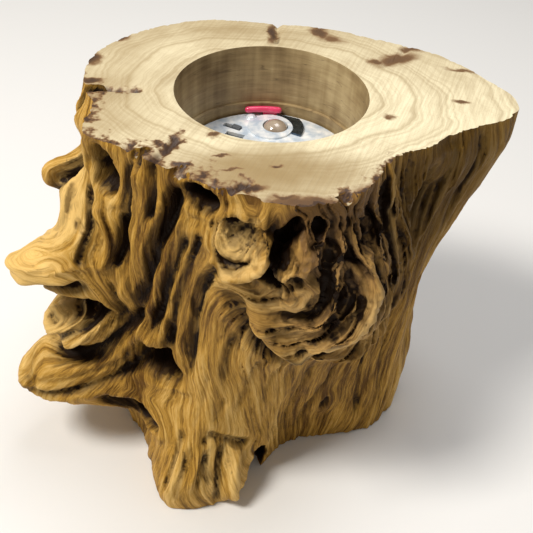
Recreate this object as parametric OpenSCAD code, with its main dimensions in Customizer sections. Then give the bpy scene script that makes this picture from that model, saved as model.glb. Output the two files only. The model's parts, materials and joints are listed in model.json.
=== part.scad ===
// Tealight holder cut from a gnarled root, with a lift-out flameless light in its well.
// The origin is under the centre of the well, on the surface that the holder stands on.

/* [Root] */
// Height of the sawn top above the table
root_h = 85; // [70:1:110]
// Scale of every outline and lobe of the root, 1 as carved
root_scale = 1; // [1:0.05:1.4]
// Height of the waist, as a share of the height
waist_share = 0.4; // [0.3:0.05:0.5]

/* [Well] */
// Diameter of the tealight well
well_d = 40; // [39:0.5:44]
// Depth of the well's full width, down to the ledge over the light
well_depth = 14; // [12:0.5:18]
// Depth of the light's face below the ledge
face_sink = 2.5; // [2.3:0.1:4]
// Gap between the light and its seat, on the radius
seat_gap = 0.4; // [0.3:0.05:0.6]
// Gap under the light
seat_floor_gap = 0.1; // [0.1:0.05:0.5]

/* [Light] */
// Diameter of the light
light_d = 38; // [37.5:0.5:38.6]
// Height of the light from its base to its face
light_h = 10; // [10:0.5:12]
// Thickness of the tray's wall and floor
tray_wall = 1.2; // [1:0.1:1.5]
// Thickness of the polished face plate
face_t = 0.8; // [0.6:0.1:1]
// Radius of the raised bezel round the lens
bezel_r = 5.2; // [4.5:0.1:5.2]
// Height of the bezel above the face
bezel_t = 0.4; // [0.3:0.1:0.6]
// Radius of the lens
lens_r = 2.7; // [2:0.1:2.8]
// How far the lens stands above the face
lens_rise = 1.7; // [1.2:0.1:2]
// Radius of a face screw's head
screw_head_r = 1.35; // [1:0.05:1.4]
// Radius of a face screw's shank
screw_r = 0.6; // [0.5:0.05:0.7]
// Radius of the bead on the lifting tab
tab_r = 0.75; // [0.6:0.05:0.75]

/* [Battery] */
// Diameter of the coin cell
cell_d = 20; // [16:0.5:20]
// Thickness of the coin cell
cell_t = 3.2; // [2:0.1:3.2]
// Turn that frees the battery cap, in degrees
cap_turn = 35; // [30:1:40]

/* [Switch] */
// Travel of the switch
switch_travel = 2; // [1.5:0.1:2.2]
// Width of the slots in the face
slot_w = 1.5; // [1.2:0.1:1.8]

/* [Hidden] */
$fn = 96;

over = 1;                 // how far a cutting tool runs past what it cuts

// Root outlines: the distance from the well's axis every 15 degrees, from +X towards +Y
top_outline = [51, 47, 43, 37, 34.5, 33, 32, 33.5, 36, 37.5, 39, 40,
               38.5, 35, 40, 36.5, 35.5, 36, 38.5, 40, 37, 32, 35.5, 40];
waist_outline = [38.5, 37, 36, 34, 32, 31, 30.5, 31, 32.5, 34, 36, 37.5,
                 39, 41, 42, 38.5, 37, 37, 35, 32.5, 31, 31, 33, 37];
foot_outline = [38, 37, 35, 33.5, 33, 33, 33.5, 35, 36.5, 36, 34.5, 33.5,
                33.5, 34, 36, 36.5, 43, 46, 36.5, 27, 26, 29, 35, 38];

// Lobes and hollows: [angle, share of the height, spread in degrees, spread in height, reach]
lobes = [
    [206, 0.610, 12, 0.080, 16],    // upper lip of the left fin
    [202, 0.760, 10, 0.080, 6],     // fin above it
    [209, 0.510, 11, 0.026, -8],    // undercut below the lip
    [207, 0.430, 12, 0.050, 12],    // roll between the two lips
    [207, 0.240, 15, 0.090, 22],    // lower lip
    [196, 0.815, 5.5, 0.048, 8.5],  // knob behind the fin
    [190, 0.930, 8, 0.050, 5],      // bark above the knob
    [217, 0.900, 5, 0.060, -3],     // knot hole
    [236, 0.400, 8, 0.070, -4],     // hollow between the lips and the trunk
    [298, 0.680, 26, 0.180, 9.5],   // burl
    [294, 0.530, 20, 0.045, 3],     // rolled lower edge of the burl
    [262, 0.800, 7, 0.045, 3.5],    // eyelid beside the burl
    [337, 0.720, 8, 0.170, -5.5],   // hollow right of the burl
    [352, 0.920, 16, 0.060, 1.5],   // thick edge of the right lobe
    [232, 0.120, 9, 0.080, -1.5],   // hollow beside the front foot
    [248, 0.040, 7, 0.070, 3],      // front toe
    [267, 0.050, 5, 0.050, 2.5],    // second toe
    [60, 0.550, 16, 0.120, 4],      // knuckles of the back
    [120, 0.350, 18, 0.140, 5],
    [150, 0.700, 12, 0.090, 4],
    [20, 0.300, 14, 0.120, 3]
];
flute_count = 17;         // shallow flutes that run down the root
flute_depth = 0.7;
angle_steps = 72;
height_steps = 34;

// Levels, counted up from the table
ledge_z = root_h - well_depth;
face_z = ledge_z - face_sink;
light_z = face_z - light_h;
seat_z = light_z - seat_floor_gap;
light_r = light_d / 2;
seat_r = light_r + seat_gap;
well_r = well_d / 2;

// Tray
plate_z = face_z - face_t;
tray_floor_z = light_z + tray_wall;
tray_inner_r = light_r - tray_wall;
board_r = tray_inner_r - 2;
board_t = 0.8;
board_ledge = 0.6;
edge_gap = 0.1;                       // room round the board and the face plate
pillar_sink = 0.2;
board_gap = 0.85;                     // from the coin cell up to the board
cell_r = cell_d / 2;
cell_lift = 0.05;                     // gap between the coin cell and the cap
can_share = 0.8;                      // height of the can, as a share of the cell
cell_rim = 1.2;
cell_z = tray_floor_z + cell_lift;
board_z = cell_z + cell_t + board_gap;
board_top = board_z + board_t;
pillar_r = 1.4;
screw_gap = 0.05;
screw_circle_r = light_r - 1.7;
screw_angles = [105.6, 225.6, 345.6];

// Battery cap
cap_r = cell_r + 0.8;
cap_gap = 0.3;
collar_t = 0.6;                       // wall of the collar that carries the lugs
lug_reach = 1.1;
lug_t = 0.5;
lug_lift = 0.1;
lug_span = 18;
lug_angles = [30, 150, 270];
coin_slot = [10, 1.6, 0.6];
collar_step = 0.1;                    // collar set in from the cap's rim
lug_root = 0.35;                      // how far the lugs start inside the cap's rim
lug_turn = 5;                         // degrees of room for each millimetre of gap

// Contacts
leaf_t = 0.25;
leaf_size = [9, 4];
leaf_start = -2;
leaf_foot = 0.6;
contact_lift = 0.02;                  // gap between the coin cell and the leaf
finger_gap = 0.9;                     // from the coin cell's can to the finger's back
finger_t = 0.3;
finger_w = 5;
finger_lift = 0.9;
finger_angle = 210;
tip_gap = 0.05;
tip_w = 2;
tip_h = 0.9;
tip_lift = 0.2;

// Parts on the board
chip_pos = [3, -3];
chip_size = [5, 4, 1.3];
chip_lift = 0.1;
pin_size = [0.5, 0.8, 0.5];
pin_xs = [0.4, 1.6, 2.8, 4];
resistor_size = [1.2, 2, 0.5];
resistor_xs = [-9, -6.5, -4];
resistor_y = -7;
led_w = 2.4;
led_h = 0.9;
led_room = 0.2;                       // room round and over the emitter, inside the lens

// Face details, placed from the light's axis
bezel_pos = [0, light_r - 6.4];
lens_pos = [1.2, light_r - 6.1];
lens_gap = 0.25;
dome_r = 3.2;
screw_hole_gap = 0.15;
head_gap = 0.1;
head_dome_r = 1.8;
head_dome_drop = 1.1;
shank_lift = 0.3;
slots = [[-8.6, light_r - 7.2, -25], [-7.8, light_r - 10.6, -18]];
slot_l = 4.4;
clip_gap = 0.15;
clip_w = 2.4;
clip_t = 0.5;
clip_from = -24;
clip_to = 78;

// Lifting tab: a bead along the back of the well, on a stem through the face plate
stem_r = light_r - 0.35;              // outside of the stem
stem_t = 0.6;
stem_from = 86;
stem_to = 96;
bead_r = stem_r - stem_t / 2;
bead_from = 84.5;
bead_to = 107.5;
bead_lift = 0.3;
bead_z = face_z + bezel_t + tab_r + bead_lift;
bead_end_r = tab_r - 0.04;
anchor_t = 0.7;
anchor_w = 2.2;
anchor_from = 84.5;
anchor_to = 97.5;
notch_gap = 0.2;
notch_turn = 0.6;                     // room at each side of the stem, in degrees
pocket_gap = 0.1;
pocket_turn = 1;

// Switch
slot_room = 0.4;                      // what is left of the slot at full travel
knob_l = slot_l - switch_travel - slot_room;
knob_rise = 0.5;
knob_gap = 0.15;
knob_lift = 0.1;                      // from the housing up to the slider
housing_size = [4.6, 2.1, 2.3];

// --- Root ---

function wrap(i, n) = ((i % n) + n) % n;

// Smooth closed curve through evenly spaced values
function round_value(list, a) =
    let (n = len(list), t = a * n / 360, i = floor(t), f = t - i,
         p = [for (k = [-1:2]) list[wrap(i + k, n)]])
    0.5 * (2 * p[1] + (p[2] - p[0]) * f
           + (2 * p[0] - 5 * p[1] + 4 * p[2] - p[3]) * f * f
           + (3 * p[1] - p[0] - 3 * p[2] + p[3]) * f * f * f);

function ease(t) = t * t * (3 - 2 * t);
function mix(a, b, t) = a + (b - a) * t;

// Shortest turn between two angles
function turn(a, b) = let (d = wrap(floor(a - b + 180), 360) + (a - b - floor(a - b))) d - 180;

function lobe_sum(a, h) =
    let (parts = [for (l = lobes)
        let (u = turn(a, l[0]) / l[2], v = (h - l[1]) / l[3])
        l[4] * exp(-u * u - v * v)])
    parts * [for (p = parts) 1];

function flutes(a, h) =
    flute_depth * sin(a * flute_count + 70 * sin(200 * h)) * sin(180 * min(1, h * 1.1));

// Distance from the axis to the root's skin, at an angle and a share of the height
function skin(a, h) =
    let (side = h > waist_share
            ? mix(round_value(waist_outline, a), round_value(top_outline, a),
                  ease((h - waist_share) / (1 - waist_share)))
            : mix(round_value(foot_outline, a), round_value(waist_outline, a),
                  ease(h / waist_share)))
    root_scale * (side + lobe_sum(a, h) + flutes(a, h));

function skin_point(i, j) =
    let (a = i * 360 / angle_steps, h = j / height_steps, r = skin(a, h))
    [r * cos(a), r * sin(a), root_h * h];

function skin_index(i, j) = j * angle_steps + wrap(i, angle_steps);

module root_block() {
    count = angle_steps * (height_steps + 1);
    points = concat([for (j = [0:height_steps], i = [0:angle_steps - 1]) skin_point(i, j)],
                    [[0, 0, 0], [0, 0, root_h]]);
    sides = [for (j = [0:height_steps - 1], i = [0:angle_steps - 1], half = [0, 1])
        half == 0
            ? [skin_index(i, j), skin_index(i, j + 1), skin_index(i + 1, j + 1)]
            : [skin_index(i, j), skin_index(i + 1, j + 1), skin_index(i + 1, j)]];
    bottom = [for (i = [0:angle_steps - 1]) [count, skin_index(i, 0), skin_index(i + 1, 0)]];
    top = [for (i = [0:angle_steps - 1])
        [count + 1, skin_index(i + 1, height_steps), skin_index(i, height_steps)]];
    polyhedron(points = points, faces = concat(sides, bottom, top), convexity = 10);
}

module root_body() {
    color("burlywood")
    difference() {
        root_block();
        translate([0, 0, ledge_z]) cylinder(r = well_r, h = well_depth + over);
        translate([0, 0, seat_z]) cylinder(r = seat_r, h = ledge_z - seat_z + over);
    }
}

// --- Shared shapes of the light ---

module at_screws() {
    for (a = screw_angles) rotate([0, 0, a]) translate([screw_circle_r, 0, 0]) children();
}

// Part of a ring round the axis, between two angles
module ring_sector(inner, outer, from, to, h) {
    rotate([0, 0, from]) rotate_extrude(angle = to - from)
        translate([inner, 0]) square([outer - inner, h]);
}

module slot_hole(place, h) {
    translate([place[0], place[1], 0]) rotate([0, 0, place[2]])
        translate([-slot_l / 2, -slot_w / 2, 0]) cube([slot_l, slot_w, h]);
}

module cap_lugs(gap, lug_h) {
    for (a = lug_angles)
        ring_sector(cap_r - lug_root, cap_r + lug_reach + gap, a - lug_span / 2 - gap * lug_turn,
                    a + lug_span / 2 + gap * lug_turn, lug_h);
}

// --- Light ---

module light_tray() {
    color("whitesmoke")
    difference() {
        union() {
            difference() {
                translate([0, 0, light_z]) cylinder(r = light_r, h = plate_z - light_z);
                translate([0, 0, tray_floor_z])
                    cylinder(r = board_r + edge_gap - board_ledge, h = light_h);
                translate([0, 0, board_z]) cylinder(r = tray_inner_r, h = light_h);
            }
            at_screws() translate([0, 0, board_z - pillar_sink])
                cylinder(r = pillar_r, h = plate_z - board_z + pillar_sink);
        }
        translate([0, 0, light_z - over])
            cylinder(r = cap_r + cap_gap, h = tray_wall + 2 * over);
        translate([0, 0, light_z - over]) rotate([0, 0, cap_turn])
            cap_lugs(cap_gap / 2, tray_wall + 2 * over);
        at_screws() translate([0, 0, board_top]) cylinder(r = screw_r + screw_gap, h = light_h);
        translate([0, 0, plate_z - anchor_t - pocket_gap])
            ring_sector(tray_inner_r - over, stem_r + pocket_gap, anchor_from - pocket_turn,
                        anchor_to + pocket_turn, light_h);
    }
}

module battery_cap() {
    color("lightgray")
    difference() {
        union() {
            translate([0, 0, light_z]) cylinder(r = cap_r, h = tray_wall);
            translate([0, 0, tray_floor_z + lug_lift]) cap_lugs(0, lug_t);
            translate([0, 0, tray_floor_z - collar_step]) difference() {
                cylinder(r = cap_r - collar_step, h = lug_lift + lug_t + collar_step);
                cylinder(r = cap_r - collar_t, h = light_h);
            }
        }
        translate([-coin_slot[0] / 2, -coin_slot[1] / 2, light_z - over])
            cube([coin_slot[0], coin_slot[1], coin_slot[2] + over]);
    }
}

module coin_cell() {
    color("silver") translate([0, 0, cell_z]) {
        cylinder(r = cell_r, h = cell_t * can_share);
        cylinder(r = cell_r - cell_rim, h = cell_t);
    }
}

// Leaf between the coin cell and the board
module contact_negative() {
    color("gold") translate([leaf_start, -leaf_size[1] / 2, cell_z + cell_t + contact_lift]) {
        cube([leaf_size[0], leaf_size[1], leaf_t]);
        translate([leaf_size[0] - leaf_foot, 0, 0])
            cube([leaf_foot, leaf_size[1], board_gap - contact_lift]);
    }
}

// Finger beside the coin cell's can
module contact_positive() {
    foot_z = cell_z + finger_lift;
    color("gold") rotate([0, 0, finger_angle]) {
        translate([cell_r + finger_gap, -finger_w / 2, foot_z])
            cube([finger_t, finger_w, board_z - foot_z]);
        translate([cell_r + tip_gap, -tip_w / 2, foot_z + tip_lift])
            cube([finger_gap, tip_w, tip_h]);
    }
}

module circuit_board() {
    color("seagreen") translate([0, 0, board_z]) cylinder(r = board_r, h = board_t);
}

module driver_chip() {
    color("dimgray") translate([chip_pos[0], chip_pos[1], board_top]) {
        translate([0, 0, chip_lift]) cube(chip_size);
        for (x = pin_xs, y = [-pin_size[1], chip_size[1]])
            translate([x, y, 0]) cube(pin_size);
    }
}

module resistors() {
    color("black") for (x = resistor_xs)
        translate([x, resistor_y, board_top]) cube(resistor_size);
}

module led_emitter() {
    color("gold") translate([lens_pos[0] - led_w / 2, lens_pos[1] - led_w / 2, board_top])
        cube([led_w, led_w, led_h]);
}

module led_lens() {
    lens_top = face_z + lens_rise;
    dome_z = lens_top - dome_r;
    room_w = led_w + 2 * led_room;
    color("lightcyan") translate([lens_pos[0], lens_pos[1], 0]) difference() {
        intersection() {
            translate([0, 0, board_top]) cylinder(r = lens_r, h = lens_top - board_top + over);
            union() {
                translate([0, 0, dome_z]) sphere(r = dome_r);
                translate([0, 0, board_top]) cylinder(r = lens_r, h = dome_z - board_top + over / 2);
            }
        }
        translate([-room_w / 2, -room_w / 2, board_top - over])
            cube([room_w, room_w, led_h + led_room + over]);
    }
}

module at_switch() {
    translate([slots[0][0], slots[0][1], 0]) rotate([0, 0, slots[0][2]]) children();
}

module switch_housing() {
    color("dimgray") at_switch()
        translate([-housing_size[0] / 2, -housing_size[1] / 2, board_top])
        cube(housing_size);
}

// The slider rests at the inner end of its slot
module switch_slider() {
    base_z = board_top + housing_size[2] + knob_lift;
    color("gray") at_switch()
        translate([slot_l / 2 - knob_gap - knob_l, -slot_w / 2 + knob_gap, base_z])
        cube([knob_l, slot_w - 2 * knob_gap, face_z + knob_rise - base_z]);
}

module face_plate() {
    color("white") difference() {
        translate([0, 0, plate_z]) cylinder(r = light_r - edge_gap, h = face_t);
        translate([lens_pos[0], lens_pos[1], plate_z - over])
            cylinder(r = lens_r + lens_gap, h = face_t + 2 * over);
        for (s = slots) translate([0, 0, plate_z - over]) slot_hole(s, face_t + 2 * over);
        at_screws() translate([0, 0, plate_z - over])
            cylinder(r = screw_r + screw_hole_gap, h = face_t + 2 * over);
        translate([0, 0, plate_z - over])
            ring_sector(stem_r - stem_t - notch_gap, light_r + over, stem_from - notch_turn,
                        stem_to + notch_turn, face_t + 2 * over);
    }
}

module lens_bezel() {
    color("silver") difference() {
        translate([bezel_pos[0], bezel_pos[1], face_z]) cylinder(r = bezel_r, h = bezel_t);
        translate([lens_pos[0], lens_pos[1], face_z - over])
            cylinder(r = lens_r + lens_gap, h = bezel_t + 2 * over);
        at_screws() translate([0, 0, face_z - over])
            cylinder(r = screw_head_r + head_gap, h = bezel_t + 2 * over);
    }
}

// Crescent spring that grips the bezel's right side
module bezel_clip() {
    color("darkslategray") intersection() {
        translate([bezel_pos[0], bezel_pos[1], face_z])
            ring_sector(bezel_r + clip_gap, bezel_r + clip_gap + clip_w, clip_from, clip_to,
                        clip_t);
        translate([0, 0, face_z - over]) cylinder(r = stem_r - stem_t - notch_gap, h = light_h);
    }
}

module face_screws() {
    color("silver") at_screws() {
        translate([0, 0, board_top + shank_lift]) cylinder(r = screw_r, h = face_z - board_top);
        intersection() {
            translate([0, 0, face_z]) cylinder(r = screw_head_r, h = over);
            translate([0, 0, face_z - head_dome_drop]) sphere(r = head_dome_r);
        }
    }
}

module lift_tab() {
    color("hotpink") {
        rotate([0, 0, bead_from]) rotate_extrude(angle = bead_to - bead_from)
            translate([bead_r, bead_z]) circle(r = tab_r);
        for (a = [bead_from, bead_to])
            rotate([0, 0, a]) translate([bead_r, 0, bead_z]) sphere(r = bead_end_r);
        translate([0, 0, plate_z - anchor_t]) {
            ring_sector(stem_r - stem_t, stem_r, stem_from, stem_to, bead_z - plate_z + anchor_t);
            ring_sector(stem_r - anchor_w, stem_r, anchor_from, anchor_to, anchor_t);
        }
    }
}

root_body();
light_tray();
battery_cap();
coin_cell();
contact_negative();
contact_positive();
circuit_board();
driver_chip();
resistors();
led_emitter();
led_lens();
switch_housing();
switch_slider();
face_plate();
lens_bezel();
bezel_clip();
face_screws();
lift_tab();
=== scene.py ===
import json
import math

import bpy
import numpy as np
from mathutils import Matrix, Vector
from mathutils.bvhtree import BVHTree
from mathutils.kdtree import KDTree


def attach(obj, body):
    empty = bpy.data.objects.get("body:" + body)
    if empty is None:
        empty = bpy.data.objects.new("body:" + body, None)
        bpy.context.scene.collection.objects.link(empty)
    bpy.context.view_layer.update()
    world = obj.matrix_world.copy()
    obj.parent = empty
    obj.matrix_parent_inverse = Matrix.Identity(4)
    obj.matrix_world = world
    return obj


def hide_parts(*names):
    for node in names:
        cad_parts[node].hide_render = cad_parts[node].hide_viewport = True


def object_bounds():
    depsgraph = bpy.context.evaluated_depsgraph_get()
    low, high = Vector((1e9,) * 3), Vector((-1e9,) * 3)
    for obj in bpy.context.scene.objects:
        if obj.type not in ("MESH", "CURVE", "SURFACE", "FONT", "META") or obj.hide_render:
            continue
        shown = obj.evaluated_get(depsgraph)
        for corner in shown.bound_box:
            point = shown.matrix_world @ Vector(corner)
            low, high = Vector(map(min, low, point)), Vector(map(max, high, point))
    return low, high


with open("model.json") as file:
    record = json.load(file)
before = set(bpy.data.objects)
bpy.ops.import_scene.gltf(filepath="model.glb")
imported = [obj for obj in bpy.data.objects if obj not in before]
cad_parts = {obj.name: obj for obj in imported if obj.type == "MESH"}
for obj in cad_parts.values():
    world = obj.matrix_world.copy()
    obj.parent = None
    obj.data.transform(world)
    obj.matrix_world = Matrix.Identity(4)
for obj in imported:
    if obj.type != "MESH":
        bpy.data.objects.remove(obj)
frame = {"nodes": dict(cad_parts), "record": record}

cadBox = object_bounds()
wellMount = [mount for mount in frame["record"]["mounts"] if mount["name"] == "tealight_well"][0]
topHeight = round(cadBox[1][2] * 1000, 2)


# Camera: a little above the holder and in front of it, held slightly turned
cameraLook = {
    "place": (0.0015, -0.1481, 0.1645),
    "downwards": 40.7,      # degrees below level
    "roll": 4.15,
    "lens": 54.03,
    "sensor": 36.0,
}


def placeCamera():
    lensData = bpy.data.cameras.new("camera")
    lensData.lens = cameraLook["lens"]
    lensData.sensor_width = cameraLook["sensor"]
    lensData.clip_start = 0.005
    lensData.clip_end = 20
    camera = bpy.data.objects.new("camera", lensData)
    bpy.context.scene.collection.objects.link(camera)
    tilt = Matrix.Rotation(math.radians(90 - cameraLook["downwards"]), 4, "X")
    roll = Matrix.Rotation(math.radians(cameraLook["roll"]), 4, "Z")
    camera.matrix_world = Matrix.Translation(cameraLook["place"]) @ tilt @ roll
    bpy.context.scene.camera = camera


placeCamera()
print("camera placed")


# Small tools

def deselectAll():
    if bpy.context.mode != "OBJECT":
        bpy.ops.object.mode_set(mode="OBJECT")
    bpy.ops.object.select_all(action="DESELECT")


def pickOnly(thing):
    deselectAll()
    thing.hide_set(False)
    thing.select_set(True)
    bpy.context.view_layer.objects.active = thing


def applyModifier(thing, kind, **values):
    pickOnly(thing)
    modifier = thing.modifiers.new(kind.lower(), kind)
    for name, value in values.items():
        setattr(modifier, name, value)
    bpy.ops.object.modifier_apply(modifier=modifier.name)


def readPoints(thing):      # in millimetres
    points = np.empty(len(thing.data.vertices) * 3)
    thing.data.vertices.foreach_get("co", points)
    return points.reshape(-1, 3) * 1000


def writePoints(thing, points):
    thing.data.vertices.foreach_set("co", (points / 1000).ravel())
    thing.data.update()


def readNormals(thing):
    normals = np.empty(len(thing.data.vertices) * 3)
    thing.data.vertex_normals.foreach_get("vector", normals)
    return normals.reshape(-1, 3)


def keepValue(thing, name, values):     # a number at each vertex, for the materials
    layer = thing.data.attributes.new(name, "FLOAT", "POINT")
    layer.data.foreach_set("value", np.asarray(values, np.float32))


def keepVector(thing, name, vectors):
    layer = thing.data.attributes.new(name, "FLOAT_VECTOR", "POINT")
    layer.data.foreach_set("vector", np.asarray(vectors, np.float32).ravel())


def placeTree(points):
    tree = KDTree(len(points))
    for i, point in enumerate(points):
        tree.insert(point, i)
    tree.balance()
    return tree


def editMesh(thing, *steps):        # each step is done with everything selected
    pickOnly(thing)
    bpy.ops.object.mode_set(mode="EDIT")
    for step, values in steps:
        bpy.ops.mesh.select_all(action="SELECT")
        getattr(bpy.ops.mesh, step)(**values)
    bpy.ops.object.mode_set(mode="OBJECT")


def ease(values, low, high):
    t = np.clip((values - low) / (high - low), 0, 1)
    return t * t * (3 - 2 * t)


def softNoise(points, seed):        # smooth noise from -1 to 1
    cell = np.floor(points).astype(np.int64)
    part = points - cell
    part = part * part * (3 - 2 * part)
    total = np.zeros(len(points))
    for corner in range(8):
        step = np.array([corner & 1, corner >> 1 & 1, corner >> 2 & 1])
        at = cell + step
        mixed = (at[:, 0] * 73856093) ^ (at[:, 1] * 19349663) ^ (at[:, 2] * 83492791) ^ (seed * 12741261)
        mixed = mixed & 0xffffffff
        mixed = ((mixed ^ (mixed >> 15)) * 2246822519) & 0xffffffff
        mixed = ((mixed ^ (mixed >> 13)) * 3266489917) & 0xffffffff
        mixed = mixed ^ (mixed >> 16)
        weight = np.prod(np.where(step, part, 1 - part), axis=1)
        total += ((mixed & 0xffff) / 32767.5 - 1) * weight
    return total


def cloudNoise(points, seed, layers=3):
    total = np.zeros(len(points))
    for layer in range(layers):
        total += softNoise(points * 2 ** layer, seed + layer * 17) / 2 ** layer
    return total / 1.5


# The root's own places: an angle round the well in degrees, and a height in millimetres

rootShape = {
    "topHeight": topHeight,
    "wellRadius": wellMount["dims"]["r_mm"],
    "seatRadius": 19.4,
    "ledgeHeight": topHeight - wellMount["dims"]["length_mm"],
    "seatHeight": 58.4,
    "plugRadius": 24.0,     # what fills the well while the root is carved
    "plugFoot": 50.0,
    "overcut": 4.0,         # how far the carving runs above the saw cut
    "coarseVoxel": 0.95,
    "strokeVoxel": 0.52,
    "fineVoxel": 0.44,
    "mostTriangles": 190000,
    "girthRadius": 38.0,    # millimetres, round which the fibres are counted
    "flowRounds": 300,
}

# Holes: angle, height, half width, half height, depth, lean in degrees
holes = {
    "knot hole": (216.5, 78, 3.6, 5.6, 8.5, 10),
    "hollow behind the strap": (237, 34, 6.5, 5.5, 10, -15),
    "hollow below it": (229, 17, 8.0, 3.2, 7, -10),
    "gap under the sawn edge": (252.5, 81.5, 4.3, 2.6, 6, 0),
    "hollow beside the burl": (334, 67, 4.5, 12.0, 6, -6),
    "burl cleft": (276.5, 77, 1.9, 7.5, 6.5, -20),
    "burl cleft foot": (273, 69.5, 3.2, 1.4, 4.5, -24),
    "burl eye": (292, 64.5, 1.1, 3.6, 3.5, -8),
    "burl top gap": (284.5, 80.5, 1.3, 2.2, 2.5, 25),
    "burl nick": (300, 75, 1.2, 2.2, 2.5, -10),
    "burl pit": (313.5, 60, 0.9, 2.6, 2.5, 5),
    "saw notch": (187.3, 84, 1.8, 9.0, 4.5, 0),
    "beside the second toe": (274, 3.5, 2.2, 7.5, 6.5, -12),
    "edge notch": (229, 86, 1.5, 5.0, 3.0, 15),
    "edge notch in front": (245, 87, 2.4, 4.5, 3.0, 0),
    "edge notch over the burl": (292, 87, 3.0, 4.0, 2.2, 0),
    "eyelid bowl": (264.5, 77, 4.0, 2.8, 1.1, 0),
    "eyelid hollow": (262.3, 79.4, 1.6, 0.9, 1.7, -10),
    "lip corner": (205, 46.5, 2.6, 1.2, 3.0, 0),
    "nostril": (213, 55.5, 1.6, 0.9, 2.0, 20),
    "trunk fleck": (307, 16, 1.2, 2.2, 1.6, -15),
    "back knot hole": (100, 50, 5, 7, 4.5, 10),
    "back hollow": (148, 24, 8, 9, 4.5, 20),
    "back crease": (128, 66, 2.6, 10, 3.0, -12),
    "side hollow": (28, 22, 6, 9, 4.5, -10),
    "side crease": (58, 34, 2.4, 11, 3.0, 12),
}

# Lumps: angle, height, half width, half height, rise
lumps = {
    "fin knuckle": (213, 60, 4, 5, 1.6),
    "lip end": (205, 52.5, 8, 2.6, 1.6),
    "lower lip end": (203, 25, 6, 5, 1.5),
    "ridge bulb": (235.5, 41, 2.6, 4.2, 2.2),
    "burl left rim": (269, 58, 4, 8, 2.4),
    "burl right half": (310, 60, 12, 14, 1.6),
    "burl chin": (290, 53.5, 13, 4.2, 1.8),
    "cleft nodule": (281.5, 75.5, 2.6, 5.5, 2.4),
    "eyelid": (264, 74, 6.5, 4, 2.2),
    "knob": (196, 69.5, 3.2, 4, 1.6),
    "front toe": (252, 7, 5, 7, 1.8),
    "second toe": (266, 7, 3.2, 7, 2.0),
    "knot of the right foot": (309, 15, 4, 5, 1.4),
    "trunk belly": (266, 36, 9, 14, 1.5),
    "back knuckle": (88, 66, 9, 12, 3),
    "back swelling": (112, 34, 8, 10, 3),
    "back foot": (125, 8, 12, 9, 3),
    "back burl": (165, 45, 10, 12, 4),
    "back burl's bud": (172, 54, 5, 5, 2.5),
    "right foot": (12, 10, 14, 11, 3),
    "right knuckle": (45, 52, 10, 13, 2.5),
    "right bud": (18, 58, 6, 7, 2.5),
}

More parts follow.
